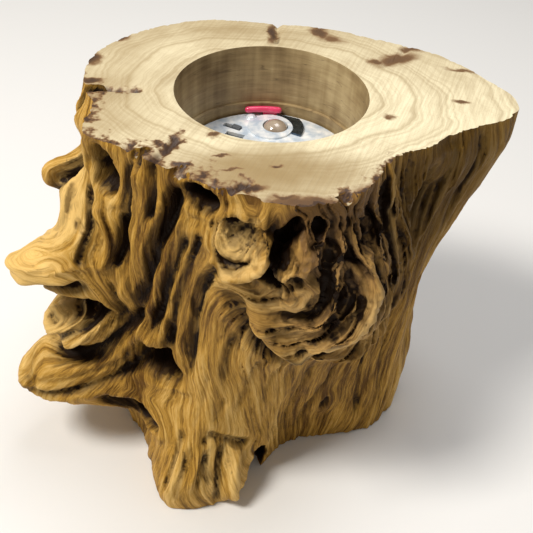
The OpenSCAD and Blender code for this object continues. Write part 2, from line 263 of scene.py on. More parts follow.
# Strokes: (width, rise, sharp?, places). A positive rise is a ridge, a negative one a groove.
# Each runs the way the fibres run.
strokes = [
    # the ridges that run down from the sawn edge to the front foot
    (1.1, 1.0, False, [(229.5, 83), (229.5, 77), (227.5, 71)]),
    (1.4, -2.2, True, [(227, 84), (227, 76), (224.5, 68), (222.5, 58)]),
    (3.6, 1.5, False, [(232, 85), (233, 77), (229, 65), (225, 53), (223.5, 46)]),
    (1.6, -2.6, True, [(235, 85), (236.2, 78), (234.5, 72)]),
    (1.1, 1.1, False, [(238, 83), (239.3, 78), (236.3, 72), (233, 66), (231, 60)]),
    (2.4, -3.4, False, [(245, 84), (242.5, 76), (238, 68), (235, 60), (232.5, 53), (230, 47)]),
    (2.6, 1.8, False, [(250, 79), (246, 74), (241.5, 68), (238.5, 61), (236.5, 54), (232.5, 46)]),
    (1.7, -3.3, True, [(249.5, 74), (245.5, 66.5), (242, 59), (240, 53), (236.5, 46), (234, 42)]),
    (2.8, 1.9, False, [(254.5, 78), (249.5, 71), (245.5, 64), (243, 56), (240.5, 48), (236, 41)]),
    (1.6, -3.0, True, [(255, 75.5), (250.5, 68.5), (247.5, 62), (245, 54), (242.5, 46), (241, 39)]),
    (3.0, 1.8, False, [(258.5, 77), (254, 71), (250, 65), (247.5, 57), (246, 47), (245.5, 38), (244.5, 30)]),
    (1.9, -3.1, True, [(262.5, 73), (258, 68), (254, 61), (251.5, 52), (250.5, 43), (249.5, 35)]),
    (4.6, 1.3, False, [(266, 64), (260, 55), (257.5, 45), (256, 32), (253, 18)]),
    (1.2, -1.5, True, [(268, 58), (264.5, 51), (262, 44), (261, 37)]),
    (3.2, 0.9, False, [(272, 55), (268, 46), (266, 36), (262, 24)]),
    (1.2, -1.1, True, [(276, 48), (271, 41), (268, 33), (265, 26)]),
    (1.0, -1.2, True, [(283, 44), (277, 36), (274, 27)]),
    (0.8, -1.0, True, [(243, 80), (240.5, 73), (237, 66)]),
    (0.8, -0.9, True, [(252, 75), (247.5, 68), (244, 61)]),
    (0.8, -1.0, True, [(256.5, 73), (252, 66.5), (249, 59), (247, 50)]),
    (0.8, -0.9, True, [(231, 78), (228, 68), (225, 57), (222.5, 49)]),
    (0.8, -0.9, True, [(257, 40), (255, 30), (252, 20)]),
    (0.8, -0.9, True, [(262, 32), (259, 24)]),
    (2.0, 0.9, False, [(291, 40), (284, 30), (279, 20), (277, 8)]),
    (1.0, -1.2, True, [(297, 38), (291, 28), (288, 16), (287, 5)]),
    # fin, tongue and lips on the left
    (2.2, 2.0, False, [(213, 70), (219, 66), (221, 61), (219, 55)]),
    (1.2, -2.6, True, [(211, 74), (215, 66), (216.5, 60), (217, 55)]),
    (1.3, -2.4, True, [(223, 70), (224.5, 64), (222.5, 57)]),
    (1.2, -1.4, True, [(211.5, 65.5), (215, 63.5)]),
    (1.2, 1.2, False, [(204, 72), (207, 66), (208, 60)]),
    (2.4, -4.5, False, [(202, 84), (202, 76), (200, 68), (199, 62)]),
    (3.0, -5.0, False, [(199, 48), (206, 49), (213, 50), (219, 51)]),
    (1.3, 1.4, False, [(200, 53), (207, 54), (214, 55.5), (219, 57)]),
    (2.0, 2.0, False, [(219, 50), (220, 44), (217, 38), (211, 33), (204, 29)]),
    (1.0, -2.2, True, [(208, 43.5), (214, 43), (217, 40), (213, 36), (206, 33)]),
    (1.2, 1.2, False, [(207, 41.5), (213, 41), (214.5, 39), (209, 36)]),
    (0.9, -1.8, True, [(206, 38.5), (211, 38.8)]),
    (1.2, -1.8, True, [(222, 54), (223, 47), (221, 40)]),
    (1.0, -1.4, True, [(205, 49), (209, 46.5), (208, 44)]),
    (2.2, -3.8, True, [(233, 49), (227, 43), (220, 34), (213, 29.5), (205, 28.5)]),
    (2.8, 2.2, False, [(234, 46), (228, 40), (222, 32.5), (218, 27.5), (210, 24)]),
    (0.9, -1.2, True, [(228, 38), (222, 30), (215, 25), (208, 22.5)]),
    (1.8, -2.6, True, [(232, 37), (225, 28), (217, 22), (208, 19.5)]),
    (1.0, -1.2, True, [(204, 26), (209, 24), (213, 21)]),
    # eyelid
    (1.7, 2.8, False, [(257.3, 73.5), (260, 70.4), (265.5, 69.8), (270, 72), (272, 76), (271.5, 81),
                       (270, 86)]),
    (1.15, -2.6, True, [(257.8, 73.8), (260.6, 71.6), (264.5, 71.4), (267.3, 72.6)]),
    (0.8, -0.8, True, [(262, 73.2), (266, 74), (268.5, 77)]),
    (0.7, -0.7, True, [(261.5, 75), (265, 75.6), (267.5, 78.5)]),
    (0.8, -0.9, True, [(260, 74.5), (264, 77), (268, 79.5)]),
    (0.7, -0.7, True, [(264, 74.6), (267.5, 76), (269.3, 79)]),
    (0.9, 1.0, False, [(258, 79), (261, 81), (265, 81.2), (267.5, 79.5)]),
    (0.8, -1.2, True, [(256.5, 80), (257.5, 76), (258, 73)]),
    # burl
    (2.2, 2.4, False, [(286, 80), (282, 75), (278, 71.5), (275, 69)]),
    (1.0, -1.6, True, [(285, 76), (281.5, 72.5), (278.5, 69.5)]),
    (1.8, 1.8, False, [(285, 72), (284.5, 68.5), (281, 65.5), (276, 65)]),
    (2.0, 2.4, False, [(292, 78), (289, 71), (288.7, 66), (287, 61.5), (283, 57.5)]),
    (1.6, -3.8, True, [(287.5, 72), (287, 65.5), (285, 62), (281, 61.2), (276, 61.5)]),
    (1.5, 1.5, False, [(284, 59.5), (279, 60), (274.5, 58)]),
    (2.4, 2.8, False, [(296, 74), (299, 67), (298.3, 61.5), (293.5, 57), (286.5, 53.5), (281, 50.5)]),
    (1.2, -2.8, True, [(292.5, 72), (294, 66.5), (292, 62), (287.5, 59)]),
    (1.1, -1.6, True, [(296.5, 71), (297.2, 65), (294.5, 60.5), (288, 56.5)]),
    (3.0, 3.2, False, [(318, 53.5), (308, 49), (296, 47.5), (285, 49.5), (277, 54), (271.5, 59), (268, 64)]),
    (1.2, -3.0, True, [(296, 51.5), (289, 50), (283, 49.5), (277.5, 52)]),
    (1.0, -2.0, True, [(292, 55.5), (286, 52.5), (281, 52.5)]),
    (0.9, -2.0, True, [(303, 50), (295, 47.8), (287, 48), (281, 49.3)]),
    (0.9, -1.5, True, [(306, 47.5), (297, 46), (288, 46)]),
    (0.9, -1.8, True, [(282, 57.5), (277, 56.5), (273, 59)]),
    (1.0, 1.3, False, [(277, 66), (280, 67.5), (283, 69.5)]),
    (0.8, -1.4, True, [(279, 73.5), (283, 77.5), (285, 81)]),
    (0.8, -1.4, True, [(289.5, 79), (287.8, 74.5), (286.8, 71)]),
    (0.8, -1.6, True, [(293.5, 80), (293, 76), (294.5, 72.5)]),
    (0.9, -1.8, True, [(298, 81), (299, 76.5), (301, 72)]),
    (0.8, -1.4, True, [(300.5, 70), (301, 63), (296.5, 56.5)]),
    (0.8, -1.6, True, [(304.5, 76), (305.3, 68), (304.3, 60), (300.5, 52.5)]),
    (0.8, -1.6, True, [(309.8, 78), (311.2, 70), (310.6, 60), (306, 51)]),
    (0.8, -1.8, True, [(316, 79), (318.4, 68), (318, 58), (313.5, 49.5)]),
    (0.8, -1.4, True, [(319.5, 74), (322.5, 66), (322.5, 57), (319, 50)]),
    (1.5, -2.8, True, [(302, 80), (303, 71), (302.5, 63), (298, 55)]),
    (1.2, 1.2, False, [(305, 79), (306, 70), (305, 61), (300, 53)]),
    (1.0, -2.2, True, [(307, 79), (308.5, 70), (308, 61), (303, 52)]),
    (1.2, 1.2, False, [(310, 78), (311.5, 69), (311, 59), (306, 50)]),
    (1.2, -2.4, True, [(312.5, 77), (314.5, 68), (314, 58), (309, 50)]),
    (2.6, 2.4, False, [(312, 86), (317, 75), (321, 65), (321, 56), (316, 48)]),
    (3.6, -6.0, False, [(323, 49), (314, 44), (304, 41.5), (292, 42), (280, 45.5), (271, 51.5),
                        (265.5, 58), (263, 65)]),
    # right side
    (1.2, -1.8, True, [(324, 85), (325.5, 76), (326.5, 66), (325, 54)]),
    (1.0, -1.4, True, [(341, 85), (342, 76), (341, 64)]),
    (1.6, -1.8, True, [(349, 85), (350, 72), (350, 58)]),
    (2.4, 1.4, False, [(345, 85), (345, 74), (343, 60), (338, 48)]),
    (1.4, -1.6, True, [(310, 30), (303, 22), (297, 14), (298, 4)]),
    (1.6, -1.4, False, [(325, 34), (323, 20), (325, 6)]),
    (1.2, -1.2, True, [(336, 46), (334, 30), (334, 10)]),
    # foot
    (1.6, -1.9, True, [(271, 14), (265, 17), (260, 19.5), (256.5, 22)]),
    (1.3, -2.2, True, [(262.5, 18), (261.5, 12), (262, 6), (262, 0)]),
    (2.0, 2.0, False, [(266.5, 16), (266.5, 9), (267, 1)]),
    (1.6, -1.4, True, [(257, 21), (257, 16), (258.5, 11), (260.5, 7)]),
    (1.4, 1.4, False, [(258, 19), (256, 13), (254.5, 6)]),
    (1.2, -1.4, True, [(252.5, 17), (252, 10), (251, 3)]),
    (1.0, -1.6, True, [(249, 20), (248, 12), (247, 4)]),
    (1.0, -1.4, True, [(257, 16), (256.5, 9), (257, 3)]),
    (2.0, 1.2, False, [(275, 18), (276, 10), (278, 3)]),
    # back and far side
    (2.4, -2.2, False, [(70, 85), (72, 68), (66, 50), (70, 30), (66, 8)]),
    (3.0, 1.8, False, [(82, 85), (80, 60), (84, 38), (80, 12)]),
    (1.8, -2.4, True, [(92, 84), (90, 58), (97, 34), (92, 6)]),
    (2.4, 1.6, False, [(112, 85), (109, 64), (116, 42), (110, 16)]),
    (2.0, -2.4, True, [(122, 84), (119, 58), (126, 40), (119, 14)]),
    (2.6, 1.8, False, [(136, 85), (133, 60), (139, 36), (133, 6)]),
    (1.8, -2.2, True, [(150, 84), (147, 62), (153, 42)]),
    (2.4, 1.6, False, [(172, 85), (177, 66), (172, 46), (177, 24), (172, 6)]),
    (1.8, -2.2, True, [(180, 80), (184, 60), (180, 38), (185, 14)]),
    (2.0, -2.4, True, [(52, 84), (49, 62), (54, 42), (50, 20)]),
    (2.8, 1.6, False, [(38, 85), (35, 64), (40, 44), (36, 20)]),
    (2.0, -2.2, True, [(22, 84), (19, 62), (24, 40), (18, 16)]),
    (3.0, 1.6, False, [(6, 85), (4, 62), (8, 40), (4, 12)]),
    (1.6, -2.0, True, [(356, 84), (357, 60), (354, 36), (357, 10)]),
]


def roundTurn(angles):
    return (angles + 180) % 360 - 180


def rootPlaces(points):
    angles = np.degrees(np.arctan2(points[:, 1], points[:, 0])) % 360
    return angles, points[:, 2]


def skinPoint(tree, angle, height):     # where a level line from outside meets the root
    way = Vector((math.cos(math.radians(angle)), math.sin(math.radians(angle)), 0))
    height = min(max(height, 0.5), rootShape["topHeight"] + rootShape["overcut"] - 0.5)
    hit = tree.ray_cast(way * 0.12 + Vector((0, 0, height / 1000)), -way)
    return np.array(hit[0] if hit[0] else way * 0.038 + Vector((0, 0, height / 1000))) * 1000


def smoothLine(stops):
    stops = np.array(stops, float)
    ends = np.vstack([2 * stops[0] - stops[1], stops, 2 * stops[-1] - stops[-2]])
    line = []
    for i in range(len(stops) - 1):
        a, b, c, d = ends[i:i + 4]
        for t in (0, 0.25, 0.5, 0.75):
            line.append(0.5 * (2 * b + (c - a) * t + (2 * a - 5 * b + 4 * c - d) * t * t
                               + (3 * b - a - 3 * c + d) * t ** 3))
    line.append(stops[-1])
    return np.array(line)


def nearLine(points, line):     # distance to a line, and how far along it
    best = np.full(len(points), 1e9)
    along = np.zeros(len(points))
    lengths = np.linalg.norm(np.diff(line, axis=0), axis=1)
    started = np.concatenate([[0], np.cumsum(lengths)])
    for i in range(len(line) - 1):
        step = line[i + 1] - line[i]
        t = np.clip((points - line[i]) @ step / max(step @ step, 1e-9), 0, 1)
        distance = np.linalg.norm(points - line[i] - t[:, None] * step, axis=1)
        nearer = distance < best
        best[nearer] = distance[nearer]
        along[nearer] = (started[i] + t[nearer] * lengths[i]) / started[-1]
    return best, along


def outwardAt(angle):
    turn = math.radians(angle)
    return np.array([math.cos(turn), math.sin(turn), 0]), np.array([-math.sin(turn), math.cos(turn), 0])


def treeOf(body):
    return BVHTree.FromObject(body, bpy.context.evaluated_depsgraph_get())


holeReach = 14      # millimetres, in and out, that a hole works on


def insideHole(points, centre, angle, halfWide, halfHigh, lean):
    outward, sideways = outwardAt(angle)
    offset = points - centre
    side, rise = offset @ sideways, offset[:, 2]
    c, s = math.cos(math.radians(lean)), math.sin(math.radians(lean))
    u, v = (side * c + rise * s) / halfWide, (rise * c - side * s) / halfHigh
    return u, v, np.abs(offset @ outward)


def carveHoles(body, tree):
    points = readPoints(body)
    moved = points.copy()
    shut = np.zeros(len(points))
    for angle, height, halfWide, halfHigh, depth, lean in holes.values():
        centre = skinPoint(tree, angle, height)
        u, v, away = insideHole(points, centre, angle, halfWide, halfHigh, lean)
        inside = np.sqrt(u * u + v * v) * (1 + 0.18 * softNoise(points / 3.0, 41))
        cut = ease(1 - inside, 0, 0.55) * depth
        # painted shade inside the holes, darker in deeper holes; the mask goes to the materials
        dark = min(1, max(0, depth - 1.8) / 2.5)        # only deep holes are dark inside
        shut = np.maximum(shut, np.where(away < holeReach, ease(1 - inside, 0.1, 0.6), 0) * dark)
        rim = np.exp(-((inside - 1.25) / 0.25) ** 2) * (0.9 if halfWide > 3 and depth > 5 else 0.2)
        moved += np.where(away < holeReach, rim - cut, 0)[:, None] * outwardAt(angle)[0]
    writePoints(body, moved)
    return shut


def raiseLumps(body):
    tree = treeOf(body)
    points, normals = readPoints(body), readNormals(body)
    moved = points.copy()
    for angle, height, halfWide, halfHigh, rise in lumps.values():
        centre = skinPoint(tree, angle, height)
        outward, sideways = outwardAt(angle)
        offset = points - centre
        u, v, w = offset @ sideways / halfWide, offset[:, 2] / halfHigh, offset @ outward / 12
        bell = np.clip(1 - (u * u + v * v + w * w) / 2.2, 0, 1) ** 2
        moved += normals * (bell * rise)[:, None]
    writePoints(body, moved)


finestStroke = 1.15     # millimetres, the finest groove that the mesh holds


def runStrokes(body, tree):
    points, normals = readPoints(body), readNormals(body)
    shift = np.zeros(len(points))
    wander = 1 + 0.25 * softNoise(points / 4.0, 91)
    uneven = 0.85 + 0.3 * softNoise(points / 5.0, 92)
    for width, rise, sharp, stops in strokes:
        width = max(width, finestStroke)
        line = np.array([skinPoint(tree, a, h) for a, h in smoothLine(stops)])
        low, high = line.min(0) - width * 1.6, line.max(0) + width * 1.6
        near = np.all((points > low) & (points < high), axis=1)
        distance, along = nearLine(points[near], line)
        t = distance / (width * wander[near])
        profile = np.clip(1 - t, 0, 1) ** 1.3 if sharp else np.clip(1 - t * t, 0, 1) ** 2
        fade = ease(along, -0.02, 0.16) * ease(1 - along, -0.02, 0.16)
        shift[near] += profile * fade * rise * uneven[near]
    writePoints(body, points + normals * shift[:, None])
    return shift


# Fibres: a number that stays the same along a fibre and grows by a millimetre from one to the next,
# so that level lines of it follow the strokes and part round the holes
def fibreFlow(body, tree):
    points, normals = readPoints(body), readNormals(body)
    angles, heights = rootPlaces(points)
    turn = np.radians(angles)
    around = np.stack([-np.sin(turn), np.cos(turn), np.zeros(len(turn))], axis=1)
    front = ease(-np.cos(np.radians(angles - 85)), -0.1, 0.9)
    sway = 0.35 * softNoise(points / 16.0, 5) + 0.15 * softNoise(points / 7.0, 6) + 0.05
    way = np.array([0, 0, -1.0]) - around * (sway + 0.20 * front)[:, None]
    total = way * 0.12
    for width, rise, sharp, stops in strokes:
        line = np.array([skinPoint(tree, a, h) for a, h in smoothLine(stops)])
        reach = max(2.5, width * 1.3)
        near = np.all((points > line.min(0) - reach * 2.2) & (points < line.max(0) + reach * 2.2), axis=1)
        distance, along = nearLine(points[near], line)
        at = np.clip((along * (len(line) - 1)).astype(int), 0, len(line) - 2)
        tangent = np.diff(line, axis=0)
        tangent /= np.linalg.norm(tangent, axis=1)[:, None] + 1e-9
        total[near] += tangent[at] * np.exp(-(distance / reach) ** 2)[:, None]
    for angle, height, halfWide, halfHigh, depth, lean in holes.values():
        centre = skinPoint(tree, angle, height)
        u, v, away = insideHole(points, centre, angle, halfWide, halfHigh, lean)
        ring = np.sqrt(u * u + v * v)
        weight = np.where(away < 12, np.exp(-((ring - 1.2) / 0.45) ** 2), 0) * 1.5
        side = np.where(u > 0, 1, -1)
        parting = around * (v * side)[:, None] - np.array([0, 0, 1.0]) * np.abs(u)[:, None]
        total += parting * weight[:, None]
    total -= normals * np.sum(total * normals, axis=1)[:, None]
    total /= np.linalg.norm(total, axis=1)[:, None] + 0.02
    across = np.cross(normals, total)
    ends = np.empty(len(body.data.edges) * 2, int)
    body.data.edges.foreach_get("vertices", ends)
    a, b = ends.reshape(-1, 2).T
    wanted = np.sum((across[a] + across[b]) * (points[b] - points[a]), axis=1) / 2
    wrapped = np.radians(roundTurn(angles[b] - angles[a])) * rootShape["girthRadius"]
    rest = wanted - wrapped
    count = len(points)

    def gather(values):
        return np.bincount(b, values, count) - np.bincount(a, values, count)

    found = np.zeros(count)
    left = gather(rest)
    search = left.copy()
    power = left @ left
    for i in range(rootShape["flowRounds"]):
        pulled = gather(search[b] - search[a]) + 1e-5 * search
        step = power / (search @ pulled)
        found += step * search
        left -= step * pulled
        newPower = left @ left
        search = left + newPower / power * search
        power = newPower
    flow = turn + found / rootShape["girthRadius"]
    radius = rootShape["girthRadius"]
    slow = 0.07 * heights + 0.05 * points[:, 0] + 0.03 * points[:, 1]
    return np.stack([radius * np.cos(flow), radius * np.sin(flow), slow], axis=1)


grainSizes = {      # millimetres across the fibres
    "coarse": 3.4,
    "middle": 1.5,
    "fine": 0.8,
    "cracks": 2.6,
    "pits": 2.1,
    "crumbs": 1.5,
    "lumps": 7.0,
}


def zone(angles, heights, angle, spread, height, rise):     # soft patch of the side
    return np.exp(-(roundTurn(angles - angle) / spread) ** 2 - ((heights - height) / rise) ** 2)


def rippleGrain(body, grain):
    points, normals = readPoints(body), readNormals(body)
    angles, heights = rootPlaces(points)
    burl = np.clip(zone(angles, heights, 296, 26, 64, 19) * 1.4, 0, 1)
    rightFace = np.clip(zone(angles, heights, 340, 24, 72, 18) * 1.3, 0, 1)
    smoothFin = zone(angles, heights, 206, 10, 66, 12)
    trunk = np.clip(zone(angles, heights, 282, 40, 26, 22) * 1.4, 0, 1)
    calm = 1 - ease(heights, 76, 84) * 0.7
    coarse = np.abs(softNoise(grain / grainSizes["coarse"], 11)) ** 0.8
    middle = np.abs(softNoise(grain * [1 / grainSizes["middle"], 1 / grainSizes["middle"], 1], 12)) ** 0.8
    fine = np.abs(softNoise(grain * [1 / grainSizes["fine"], 1 / grainSizes["fine"], 1.6], 13))
    lumpy = cloudNoise(points / grainSizes["lumps"], 14)
    edge = ease(heights, 77, 84) * (0.3 + 0.7 * burl)
    front = ease(-np.cos(np.radians(angles - 80)), 0.0, 0.8)
    coarseRise = 0.85 - 0.40 * front + 0.35 * burl - 0.3 * smoothFin - 0.25 * trunk
    middleRise = 0.60 - 0.12 * front + 0.35 * burl + 0.3 * rightFace
    middleRise += 0.2 * (edge - smoothFin - trunk)
    relief = ((coarse - 0.35) * coarseRise + (middle - 0.35) * middleRise) * calm + (fine - 0.4) * 0.3
    cracks = np.abs(softNoise(grain / grainSizes["cracks"] + 7.7, 21))
    relief = relief - ease(0.16 - cracks, 0, 0.16) * (0.25 + 0.6 * burl + 0.3 * edge)
    crust = np.clip(ease(heights, 68, 78) * burl + burl * 0.45, 0, 1)
    pitNoise = np.abs(cloudNoise(grain * [1 / grainSizes["pits"], 1 / grainSizes["pits"], 2.0], 22))
    pits = ease(0.40 - pitNoise, 0, 0.40) * crust
    crumbs = np.abs(softNoise(points / grainSizes["crumbs"], 23)) * (0.5 * burl + 0.3 * edge + crust)
    shift = relief + lumpy * (0.3 + 0.5 * burl) - (pits + crumbs * 0.6) * (1 - 0.6 * ease(heights, 80, 84))
    writePoints(body, points + normals * shift[:, None])
    return relief


def keepInBox(body):        # eases in whatever would stand out past the model's own box
    points = readPoints(body)
    low, high = np.array(cadBox[0]) * 1000, np.array(cadBox[1]) * 1000
    for axis in (0, 1):
        for side, edge in ((1, high[axis]), (-1, -low[axis])):
            out = np.maximum(side * points[:, axis] - (edge - 1.6), 0)
            points[:, axis] -= side * (out - 1.4 * (1 - np.exp(-out / 1.4)))
    writePoints(body, points)


def cutBySaw(body):
    print("cutting the sawn top and boring the well")
    pickOnly(body)
    profile = [(0, rootShape["seatHeight"]), (rootShape["seatRadius"], rootShape["seatHeight"]),
               (rootShape["seatRadius"], rootShape["ledgeHeight"] - 0.1),
               (rootShape["wellRadius"], rootShape["ledgeHeight"] + 0.1)]
    wallSteps = 16
    wallLow, wallHigh = rootShape["ledgeHeight"] + 0.1, rootShape["topHeight"] - 0.35
    for i in range(1, wallSteps + 1):
        profile.append((rootShape["wellRadius"], wallLow + (wallHigh - wallLow) * i / wallSteps))
    profile.append((rootShape["wellRadius"] + 0.1, rootShape["topHeight"] - 0.1))
    radius = rootShape["wellRadius"] + 0.4
    profile.append((radius, rootShape["topHeight"]))
    while radius < 66:
        radius += 0.8
        profile.append((radius, rootShape["topHeight"]))
    profile.append((radius, rootShape["topHeight"] + 20))
    profile.append((0, rootShape["topHeight"] + 20))
    mesh = bpy.data.meshes.new("saw")
    mesh.from_pydata([(r / 1000, 0, z / 1000) for r, z in profile],
                     [(i, i + 1) for i in range(len(profile) - 1)], [])
    saw = bpy.data.objects.new("saw", mesh)
    bpy.context.scene.collection.objects.link(saw)
    editMesh(saw, ("spin", {"steps": 320, "angle": 2 * math.pi, "center": (0, 0, 0), "axis": (0, 0, 1)}),
             ("remove_doubles", {"threshold": 0.00001}), ("normals_make_consistent", {"inside": False}))
    marks = readPoints(saw)
    top = (np.abs(marks[:, 2] - rootShape["topHeight"]) < 0.01) & (np.hypot(marks[:, 0], marks[:, 1]) > 20.3)
    dip = 0.05 + 0.05 * softNoise(marks / 3.0, 31) + 0.06 * cloudNoise(marks / 9.0, 32)
    for width, depth, stops in sawnCracks:
        distance, along = nearLine(marks, smoothLine([(x, y, rootShape["topHeight"]) for x, y in stops]))
        dip = dip + np.clip(1 - distance / width, 0, 1) * depth
    marks[:, 2] -= np.where(top, np.maximum(dip, 0.02), 0)
    writePoints(saw, marks)
    applyModifier(body, "BOOLEAN", operation="DIFFERENCE", object=saw, solver="EXACT")
    bpy.data.objects.remove(saw)
    floorCut = {"plane_co": (0, 0, 0), "plane_no": (0, 0, 1), "clear_inner": True, "use_fill": True}
    editMesh(body, ("bisect", floorCut), ("quads_convert_to_tris", {}), ("separate", {"type": "LOOSE"}))
    pieces = sorted(bpy.context.selected_objects, key=lambda piece: len(piece.data.polygons))
    keep = pieces[-1]
    for piece in pieces[:-1]:
        bpy.data.objects.remove(piece)
    return keep


# Cracks in the sawn top: width, depth, places in millimetres from the well's axis
sawnCracks = [
    (1.2, 1.2, [(-21, -31), (-18.5, -26), (-16.7, -21.5)]),
    (1.0, 0.9, [(-35, -4.6), (-31, -4.4), (-27, -4.3)]),
    (1.0, 0.9, [(0, 32), (0.1, 26.5), (0, 22.3)]),
    (1.1, 1.0, [(-6.5, -38.5), (-4, -35), (-2.4, -33.9)]),
    (0.9, 0.7, [(-25.6, -27), (-24.5, -24.3)]),
    (1.0, 0.5, [(30, 25), (27.8, 19), (24.5, 15)]),
]


# Painted shade: the materials darken each place by how far it is shut in.
def darkness(points, normals, tree, reach=14.0):      # how far each place is shut in by its neighbours
    ways = []
    count = 10
    for i in range(count):
        height = (i + 0.5) / count
        turn = i * 2.399963
        flat = math.sqrt(1 - height * height)
        ways.append((flat * math.cos(turn), flat * math.sin(turn), height))
    shut = np.zeros(len(points))
    for i in range(len(points)):
        normal = Vector(normals[i])
        start = Vector(points[i]) / 1000 + normal * 0.00025
        turned = normal.to_track_quat("Z", "Y")
        hits = 0.0
        for way in ways:
            hit = tree.ray_cast(start, turned @ Vector(way), reach / 1000)
            if hit[0] is not None:
                hits += 1 - 0.6 * hit[3] / (reach / 1000)
        shut[i] = hits / count
    return shut


def carveRoot():
    print("carving the root")
    source = frame["nodes"]["root_body"]
    body = source.copy()
    body.data = source.data.copy()
    body.name = "carvedRoot"
    body.parent = None
    for name in list(body.keys()):
        del body[name]
    bpy.context.scene.collection.objects.link(body)
    body.data.materials.clear()
    editMesh(body, ("remove_doubles", {"threshold": 0.00002}))
    points = readPoints(body)
    points[points[:, 2] > rootShape["topHeight"] - 0.1, 2] += rootShape["overcut"]
    points[points[:, 2] < 0.1, 2] -= 1.5
    writePoints(body, points)
    plugLow, plugHigh = rootShape["plugFoot"], rootShape["topHeight"] + rootShape["overcut"]
    deselectAll()
    bpy.ops.mesh.primitive_cylinder_add(vertices=96, radius=rootShape["plugRadius"] / 1000,
                                        depth=(plugHigh - plugLow) / 1000,
                                        location=(0, 0, (plugHigh + plugLow) / 2000))
    plug = bpy.context.object
    deselectAll()
    plug.select_set(True)
    body.select_set(True)
    bpy.context.view_layer.objects.active = body
    bpy.ops.object.join()
    applyModifier(body, "REMESH", mode="VOXEL", voxel_size=rootShape["coarseVoxel"] / 1000)
    applyModifier(body, "SMOOTH", factor=0.6, iterations=4)
    raiseLumps(body)
    applyModifier(body, "REMESH", mode="VOXEL", voxel_size=rootShape["strokeVoxel"] / 1000)
    applyModifier(body, "SMOOTH", factor=0.5, iterations=2)
    skin = treeOf(body)
    runStrokes(body, skin)
    holeShade = carveHoles(body, skin)
    cutAt = placeTree(readPoints(body))
    applyModifier(body, "REMESH", mode="VOXEL", voxel_size=rootShape["fineVoxel"] / 1000)
    applyModifier(body, "SMOOTH", factor=0.5, iterations=1)
    print("leading the fibres along the strokes")
    grain = fibreFlow(body, skin)
    holeShade = np.array([holeShade[cutAt.find(point)[1]] for point in readPoints(body)])
    print("running the grain")
    relief = rippleGrain(body, grain)
    keepInBox(body)
    marks = {"grain": grain, "relief": relief, "hole": holeShade, "places": readPoints(body)}
    body = cutBySaw(body)
    triangles = len(body.data.polygons)
    if triangles > rootShape["mostTriangles"]:
        applyModifier(body, "DECIMATE", ratio=rootShape["mostTriangles"] / triangles)
    points = readPoints(body)
    points[:, 2] = np.clip(points[:, 2], 0, rootShape["topHeight"])
    writePoints(body, points)
    return body, marks


# Paler and darker parts: angle, spread, height, spread, how pale
tones = [
    (206, 14, 66, 12, 2.3),      # fin
    (206, 14, 53, 4, 0.8),       # upper lip
    (205, 16, 22, 6, 0.9),       # lower lip
    # painted shade under the overhang of the sawn edge
    (238, 16, 66, 26, -0.45),    # under the sawn edge
    (268, 22, 34, 18, 0.35),     # trunk
    (196, 5, 69, 6, -0.7),       # knob
    (262, 16, 8, 10, 0.8),       # front foot
    (264, 8, 74, 7, 1.5),        # eyelid
    # painted shade behind the strap
    (232, 12, 26, 12, -0.5),     # behind the strap
    (309, 12, 62, 16, -0.15),    # right half of the burl
    (208, 10, 40, 8, 2.2),       # roll between the lips
    (286, 14, 53, 5, 0.6),       # chin of the burl
    (298, 5, 60, 9, 1.2),        # pale rim of the burl
    (308, 9, 58, 12, 0.5),
    (279, 6, 66, 4, 0.4),
    (281, 5, 76, 7, -1.3),       # nodule in the cleft
    (284, 16, 82, 4, -1.5),      # crust under the sawn edge
    (302, 10, 77, 6, -0.9),
    (312, 26, 26, 20, -0.6),     # lower right
]


# Painted shade along the grooves, for the side wood's colour.
def grooveShadeMask(angles, heights, wide):       # 1 at the bottom of a groove
    places = np.stack([angles * 0.7, heights], axis=1)
    mask = np.zeros(len(places))
    for width, rise, sharp, stops in strokes:
        if rise > 0:
            continue
        line = smoothLine(stops) * [0.7, 1]
        reach = width * wide
        near = np.all((places > line.min(0) - reach) & (places < line.max(0) + reach), axis=1)
        distance, along = nearLine(places[near], line)
        fade = ease(along, 0, 0.12) * ease(1 - along, 0, 0.12)
        mask[near] = np.maximum(mask[near], np.clip(1 - distance / reach, 0, 1) * fade * min(1, -rise / 2.4))
    return mask


def markRoot(body, marks):
    print("marking the hollows and the grain for the materials")
    points, normals = readPoints(body), readNormals(body)
    angles, heights = rootPlaces(points)
    where = placeTree(marks["places"])
    nearest = np.array([where.find(point)[1] for point in points])
    pale = np.zeros(len(points))
    for angle, spread, height, rise, amount in tones:
        pale += zone(angles, heights, angle, spread, height, rise) * amount
    keepVector(body, "grain", marks["grain"][nearest])
    # relief also paints light on the crests and shade in the low places
    keepValue(body, "relief", marks["relief"][nearest])
    outside = np.hypot(points[:, 0], points[:, 1]) > rootShape["wellRadius"] + 3
    # painted shade at the bottom of the grooves and inside the deep holes
    groove = np.maximum(grooveShadeMask(angles, heights, 0.8) * outside, np.clip(marks["hole"][nearest], 0, 1))
    keepValue(body, "groove", groove)
    # the shut-in value, which the materials paint as shade in hollows and creases
    keepValue(body, "hollow", darkness(points, normals, treeOf(body)))
    keepValue(body, "pale", pale)
    rim = placeTree(points[(points[:, 2] > 82) & (points[:, 2] < rootShape["topHeight"] - 0.7) & outside])
    sawnFrom = rootShape["topHeight"] - 1.6
    away = np.array([rim.find(point)[2] if point[2] > sawnFrom else 9 for point in points])
    barky = 0.2 + 0.8 * ease(-np.cos(np.radians(angles - 70)), -0.2, 0.7)
    keepValue(body, "edge", np.clip(1 - away / 4.5, 0, 1) * barky)
    keepValue(body, "burl", np.clip(zone(angles, heights, 296, 27, 64, 20) * 1.4, 0, 1))
    keepValue(body, "bark", np.clip(zone(angles, heights, 338, 22, 70, 22) * 1.5, 0, 1))


root, rootMarks = carveRoot()
markRoot(root, rootMarks)
print("root has", len(root.data.vertices), "vertices")


# Shared effects

